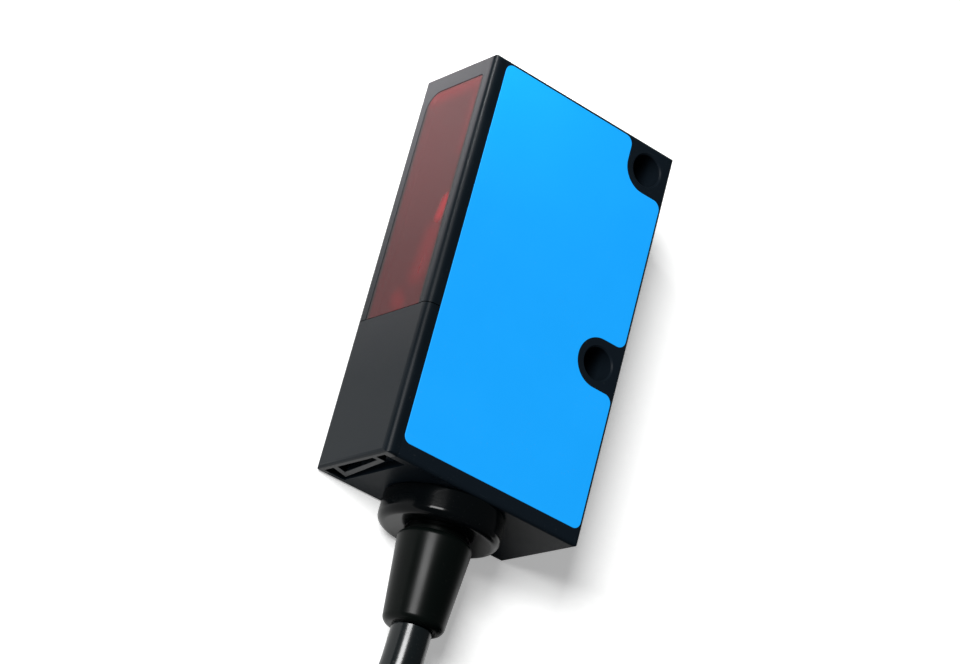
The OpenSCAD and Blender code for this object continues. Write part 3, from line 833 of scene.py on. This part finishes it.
class SENSOR_OT_stage(bpy.types.Operator):
    """Make the camera, the paper floor and the soft lights"""

    bl_idname = "sensor.stage"
    bl_label = "Stage"

    def execute(self, context):
        look = context.scene.sensor_stage
        self.add_camera(context, look)
        self.add_floor(look)
        self.add_lights(context, look)
        return {"FINISHED"}

    def add_camera(self, context, look):
        data = bpy.data.cameras.new("camera")
        data.lens = look.lens
        data.sensor_width = 36
        data.clip_start, data.clip_end = 0.01, 20
        camera = bpy.data.objects.new("camera", data)
        context.scene.collection.objects.link(camera)
        turn = Matrix((CAMERA_RIGHT, CAMERA_UP, CAMERA_BACK)).transposed().to_4x4()
        camera.matrix_world = Matrix.Translation(CAMERA_PLACE) @ turn
        context.scene.camera = camera

    def add_floor(self, look):
        bm = bmesh.new()
        bmesh.ops.create_grid(bm, x_segments=1, y_segments=1, size=FLOOR_HALF)
        bmesh.ops.translate(bm, verts=bm.verts, vec=(0, 0, -FLOOR_DROP))
        mesh = bpy.data.meshes.new("paper_floor")
        bm.to_mesh(mesh)
        bm.free()
        floor = bpy.data.objects.new("paper_floor", mesh)
        bpy.context.scene.collection.objects.link(floor)
        mesh.materials.append(paper_floor(look.floor_color))

    def add_lights(self, context, look):
        scene = context.scene
        world = bpy.data.worlds.new("room")
        scene.world = world
        world.use_nodes = True
        ground = world.node_tree.nodes["Background"]
        ground.inputs["Color"].default_value = (0.97, 0.985, 1.0, 1)
        ground.inputs["Strength"].default_value = look.sky
        scene.view_settings.view_transform = "Standard"
        self.add_key(look.key_power)
        self.add_patch(look.patch_power)

    def add_key(self, power):
        data = bpy.data.lights.new("key", "AREA")
        data.shape = "SQUARE"
        data.size = KEY_SIZE
        data.energy = power
        self.place_light(data, KEY_PLACE, KEY_TARGET)

    def add_patch(self, power):
        data = bpy.data.lights.new("floor_patch", "SPOT")
        data.energy = power
        data.spot_size = math.radians(PATCH_CONE)
        data.spot_blend = 1.0
        data.shadow_soft_size = 0.02
        self.place_light(data, PATCH_PLACE, PATCH_TARGET)

    def place_light(self, data, place, target):
        light = bpy.data.objects.new(data.name, data)
        bpy.context.scene.collection.objects.link(light)
        aim = (Vector(target) - Vector(place)).to_track_quat("-Z", "Y")
        light.matrix_world = Matrix.Translation(place) @ aim.to_matrix().to_4x4()


def coil_point(turn, radius, height):
    """Point round the coil's middle, its turn in degrees."""
    a = math.radians(turn)
    return Vector((
        COIL_CENTRE.x + radius * math.cos(a), COIL_CENTRE.y + radius * math.sin(a), height,
    ))


def coil_line():
    """Wound part of the cable: held turns, with a smooth shift or climb between them."""
    points = []
    turn, radius, layer = COIL_START, COIL_HOLDS[0][1], COIL_HOLDS[0][2]
    pitch = bpy.context.scene.sensor_cable.diameter
    for until, r, level in COIL_HOLDS:
        if (r, level) != (radius, layer):
            for k in range(0, COIL_SHIFT, COIL_STEP // 2):
                t = smooth_step(k / COIL_SHIFT)
                points.append(coil_point(
                    turn + k, (radius + (r - radius) * t) * MM,
                    COIL_BASE + (layer + (level - layer) * t) * pitch,
                ))
            turn += COIL_SHIFT
        radius, layer = r, level
        while turn < until:
            points.append(coil_point(turn, r * MM, COIL_BASE + level * pitch))
            turn += COIL_STEP
        turn = until
    points.append(coil_point(turn, radius * MM, COIL_BASE + layer * pitch))
    return points


def line_length(points):
    """Length of a line from point to point."""
    return sum((b - a).length for a, b in zip(points, points[1:]))


class SENSOR_OT_cable(bpy.types.Operator):
    """Make the cable: its free stretch and the coil, in one length"""

    bl_idname = "sensor.cable"
    bl_label = "Cable"

    def execute(self, context):
        look = context.scene.sensor_cable
        lead = through([Vector(p) for p in LEAD_ROUTE], 4)
        points = lead[:-1] + coil_line()
        if abs(line_length(points) / look.length - 1) > 0.05:
            raise RuntimeError("the coil's turns don't hold the cable's length")
        cable = tube(
            "cable", points, look.diameter / 2, "cable_jacket", finish_of("jacket"), ring=8,
        )
        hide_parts("cable_lead", "cable_coil")
        return {"FINISHED"}


class SENSOR_OT_cable_end(bpy.types.Operator):
    """Make the four stripped cores, their ferrules and the coil's tie"""

    bl_idname = "sensor.cable_end"
    bl_label = "Cable end and tie"

    def execute(self, context):
        look = context.scene.sensor_cable
        self.add_cores(look)
        self.add_tie()
        return {"FINISHED"}

    def add_cores(self, look):
        r_core = look.core_diameter / 2
        until, r_end, level = COIL_HOLDS[-1]
        axis_z = COIL_BASE + level * look.diameter
        axis_r = r_end * MM
        turn_end = until % 360
        # Degrees: how far inside the jacket the cores start, where they end, the ferrules' start
        tucked, reach, ferrule_start = 4, 60, 55
        for k, name in enumerate(CORES):
            low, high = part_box(name)
            rest_z = (low.z + high.z) / 2
            rest_r = (CORE_END_RADIUS + CORE_END_GAP * k) * MM
            across, rise = (side * CORE_SPREAD for side in CORE_PLACES[k])
            line = []
            for step in range(0, reach + 1, 2):
                t = smooth_step(min(1, max(0, (step - 6) / (20 + 3 * k))))
                radius = (axis_r + across) * (1 - t) + rest_r * t
                # The outer two cores bow apart on the way
                radius += 0.0006 * math.sin(math.pi * t) * (k - 1.5)
                height = (axis_z + rise) * (1 - t) + rest_z * t
                line.append(coil_point(turn_end - tucked + step, radius, height))
            wire = tube(
                name + "_wire", through(line, 2), r_core, name, finish_of(name), ring=6,
            )
            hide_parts(name)
            self.add_ferrule(k, rest_r, rest_z + 0.00003, turn_end + ferrule_start, r_core)

    def add_ferrule(self, k, radius, height, turn, r_core):
        steps, span, crimps = 60, 15, 7
        points, swell = [], []
        for step in range(steps + 1):
            share = step / steps
            points.append(coil_point(turn + span * share, radius, height))
            wave = 0.5 + 0.5 * math.cos(share * math.tau * crimps)
            crimp = 0.10 * wave if 0.15 < share < 0.9 else 0
            collar = 0.12 if share < 0.07 else 0
            swell.append(1.0 - crimp + collar)
        ferrule = tube(
            "ferrule_" + str(k), points, r_core * 0.98, "ferrule_tin", finish_of("ferrule"), ring=6,
        )
        for point, share in zip(ferrule.data.splines[0].points, swell):
            point.radius = share
        ferrule = as_mesh(ferrule)
        if k == 0:
            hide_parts("core_ferrules")

    def add_tie(self):
        width, thick, round_off = 0.0036, 0.0003, 0.0019
        inner, outer = 0.0149, 0.0311
        # The strap's outline in distance from the coil's middle and height
        outline = [
            (inner, 0.0003), (outer, 0.0003), (outer, 0.0124), (0.0236, 0.01645), (inner, 0.01645),
        ]
        head_size, head_place = (0.0030, 0.0048, 0.0046), (outer + 0.0017, 0.0078)
        tail_size, tail_place = (0.0007, 0.0030, 0.0016), (outer + 0.0015, 0.0107)
        bm = bmesh.new()
        y = COIL_CENTRE.y - width / 2
        verts = [bm.verts.new((COIL_CENTRE.x + r, y, z)) for r, z in outline]
        for a, b in zip(verts, verts[1:] + verts[:1]):
            bm.edges.new((a, b))
        bmesh.ops.bevel(
            bm, geom=verts, offset=round_off, offset_type="OFFSET", segments=8, profile=0.5,
            affect="VERTICES", clamp_overlap=True, material=-1,
        )
        swept = bmesh.ops.extrude_edge_only(bm, edges=bm.edges)
        moved = [v for v in swept["geom"] if isinstance(v, bmesh.types.BMVert)]
        bmesh.ops.translate(bm, verts=moved, vec=(0, width, 0))
        bmesh.ops.recalc_face_normals(bm, faces=bm.faces)
        bmesh.ops.solidify(bm, geom=list(bm.faces), thickness=-thick)
        # Lock head on the outer side, with the tail through it
        head = self.add_block(bm, head_size, *head_place)
        bmesh.ops.bevel(
            bm, geom=list({e for v in head for e in v.link_edges}), offset=0.0005,
            offset_type="OFFSET", segments=3, profile=0.5, affect="EDGES",
            clamp_overlap=True, material=-1,
        )
        self.add_block(bm, tail_size, *tail_place)
        bmesh.ops.recalc_face_normals(bm, faces=bm.faces)
        bmesh.ops.rotate(
            bm, verts=bm.verts, cent=(COIL_CENTRE.x, COIL_CENTRE.y, 0),
            matrix=Matrix.Rotation(math.radians(TIE_TURN), 3, "Z"),
        )
        tie = settle(bm, "tie", "tie_nylon", finish_of("nylon"), smooth_angle=40)
        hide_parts("coil_tie")

    def add_block(self, bm, size, radius, height):
        verts = bmesh.ops.create_cube(bm, size=1.0)["verts"]
        bmesh.ops.scale(bm, verts=verts, vec=size)
        middle = (COIL_CENTRE.x + radius, COIL_CENTRE.y, height)
        bmesh.ops.translate(bm, verts=verts, vec=middle)
        return verts


# ---------------------------------------------------------------- sensor pieces


class SENSOR_OT_housing(bpy.types.Operator):
    """Finish the housing and lay the label film in its recess"""

    bl_idname = "sensor.housing"
    bl_label = "Housing and label"

    def execute(self, context):
        look = context.scene.sensor_finish
        dress("housing", finish_of("housing"))
        bm = shell_copy("label")
        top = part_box("label")[1].z - 1e-6
        break_edges(bm, look.edge_break / 2, keep=lambda e: all(v.co.z > top for v in e.verts))
        film = settle(bm, "label_film", "blue_label", finish_of("label"))
        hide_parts("label")
        return {"FINISHED"}


class SENSOR_OT_front(bpy.types.Operator):
    """Make the front frame, the tinted screen and the lower cover with its latch"""

    bl_idname = "sensor.front"
    bl_label = "Front"

    def execute(self, context):
        look = context.scene.sensor_finish
        for node, name, slot, finish in (
            ("front_frame", "window_frame", "black_front", "front"),
            ("lower_cover", "terminal_cover", "black_front", "front"),
            ("front_screen", "window_pane", "red_screen", "screen"),
        ):
            bm = shell_copy(node)
            break_edges(bm, look.edge_break * FRONT_EDGE)
            piece = settle(bm, name, slot, finish_of(finish))
            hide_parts(node)
        return {"FINISHED"}


class SENSOR_OT_outlet(bpy.types.Operator):
    """Turn the round boss and the tapered strain relief"""

    bl_idname = "sensor.outlet"
    bl_label = "Cable outlet"

    def execute(self, context):
        look = context.scene.sensor_cable
        x_end, x_boss = HOUSING_HIGH.x, BOSS_HIGH.x
        boss_r = (BOSS_HIGH.z - BOSS_LOW.z) / 2
        bore = look.diameter / 2 + 0.00001
        rim, lip, neck = 0.0008, 0.0002, 0.0030
        # Radii of the plug inside the wall, its groove, the spigot and the seal's seat
        plug, groove, spigot, seat = 0.0048, 0.0042, 0.0046, 0.0055
        wall, seat_depth = 0.0012, 0.00035
        profile = [
            (BOSS_LOW.x, bore), (BOSS_LOW.x, plug), (x_end - wall, plug),
            (x_end - wall, groove), (x_end, groove), (x_end, spigot),
            (x_end + seat_depth, spigot), (x_end + seat_depth, seat), (x_end + 0.00002, seat),
        ]
        profile += arc((x_end + 0.00022, boss_r - lip), lip, 180, 90, 4)
        profile += arc((x_boss - rim, boss_r - rim), rim, 90, 0, 12)
        profile += arc((x_boss - lip, neck + 0.0001 + lip), lip, 0, -90, 4)
        profile += [(x_boss - rim, neck + 0.0001), (x_boss - rim, bore)]
        bush = settle(
            turned(profile, look.turning), "cable_boss", "black_bush", finish_of("bush"), 50,
        )
        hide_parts("cable_bush")

        start, end = x_boss + 0.0004, RELIEF_HIGH.x
        wide_r, thin_r = (RELIEF_HIGH.z - RELIEF_LOW.z) / 2, 0.00305
        wide_round, thin_round = 0.0006, 0.0008
        wide = (start + wide_round, wide_r - wide_round)
        thin = (end - thin_round, thin_r - thin_round)
        lean = 90 - math.degrees(math.atan2(wide[1] - thin[1], thin[0] - wide[0]))
        profile = [(x_boss - rim, bore), (x_boss - rim, neck), (start, neck)]
        profile += arc(wide, wide_round, 180, lean, 10)
        profile += arc(thin, thin_round, lean, 0, 12)
        profile += [(end, bore)]
        sleeve = settle(
            turned(profile, look.turning), "strain_relief_sleeve", "relief_rubber",
            finish_of("relief"), 50,
        )
        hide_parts("strain_relief")
        return {"FINISHED"}


class SENSOR_OT_controls(bpy.types.Operator):
    """Make the two slotted rotors, each on the body that turns it"""

    bl_idname = "sensor.controls"
    bl_label = "Controls"

    def execute(self, context):
        for body in ("adjuster", "selector"):
            bm = shell_copy(body + "_rotor")
            break_edges(bm, ROTOR_EDGE)
            knob = settle(bm, body + "_knob", "ivory_rotor", finish_of("rotor"), body=body)
            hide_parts(body + "_rotor")
        return {"FINISHED"}


# Finish of each CAD node that is shown as it is
INSIDE_FINISHES = {
    "screen_seal": "foam", "lens_block": "optics", "emitter_lens": "lens",
    "receiver_lens": "lens", "emitter_diode": "diode", "receiver_chip": "chip",
    "receiver_shield": "tin", "circuit_board": "board", "control_chip": "chip",
    "output_transistor": "chip", "board_passives": "ceramic", "output_led": "yellow_chip",
    "power_led": "green_chip", "output_light_guide": "yellow_guide",
    "power_light_guide": "green_guide", "adjuster_base": "trimmer",
    "selector_base": "trimmer", "adjuster_seal": "rubber", "selector_seal": "rubber",
    "bush_gasket": "gasket", "crimp_ring": "tin", "solder_leads": "copper",
    "cable_start": "jacket",
}


class SENSOR_OT_inside(bpy.types.Operator):
    """Finish the optics, the board and the other inner pieces"""

    bl_idname = "sensor.inside"
    bl_label = "Inner pieces"

    def execute(self, context):
        for node, finish in INSIDE_FINISHES.items():
            dress(node, finish_of(finish))
        return {"FINISHED"}


class SENSOR_PT_build(bpy.types.Panel):
    """Settings and steps of the sensor"""

    bl_label = "Photoelectric Sensor"
    bl_idname = "SENSOR_PT_build"
    bl_space_type = "VIEW_3D"
    bl_region_type = "UI"
    bl_category = "Sensor"

    def draw(self, context):
        layout = self.layout
        for settings in (
            context.scene.sensor_stage, context.scene.sensor_cable, context.scene.sensor_finish,
        ):
            column = layout.column(align=True)
            for key in settings.__annotations__:
                column.prop(settings, key)
        for step in STEPS:
            layout.operator(step.bl_idname)


STEPS = (
    SENSOR_OT_stage, SENSOR_OT_outlet, SENSOR_OT_cable_end, SENSOR_OT_cable,
    SENSOR_OT_housing, SENSOR_OT_front, SENSOR_OT_controls, SENSOR_OT_inside,
)
SETTINGS = {
    "sensor_stage": SensorStageSettings,
    "sensor_cable": SensorCableSettings,
    "sensor_finish": SensorFinishSettings,
}


def register():
    for group in SETTINGS.values():
        bpy.utils.register_class(group)
    for key, group in SETTINGS.items():
        setattr(bpy.types.Scene, key, PointerProperty(type=group))
    for item in STEPS + (SENSOR_PT_build,):
        bpy.utils.register_class(item)


def unregister():
    for item in reversed(STEPS + (SENSOR_PT_build,)):
        bpy.utils.unregister_class(item)
    for key in SETTINGS:
        delattr(bpy.types.Scene, key)
    for group in reversed(list(SETTINGS.values())):
        bpy.utils.unregister_class(group)


def main():
    register()
    for step in STEPS:
        family, action = step.bl_idname.split(".")
        getattr(getattr(bpy.ops, family), action)()


if __name__ == "__main__":
    main()
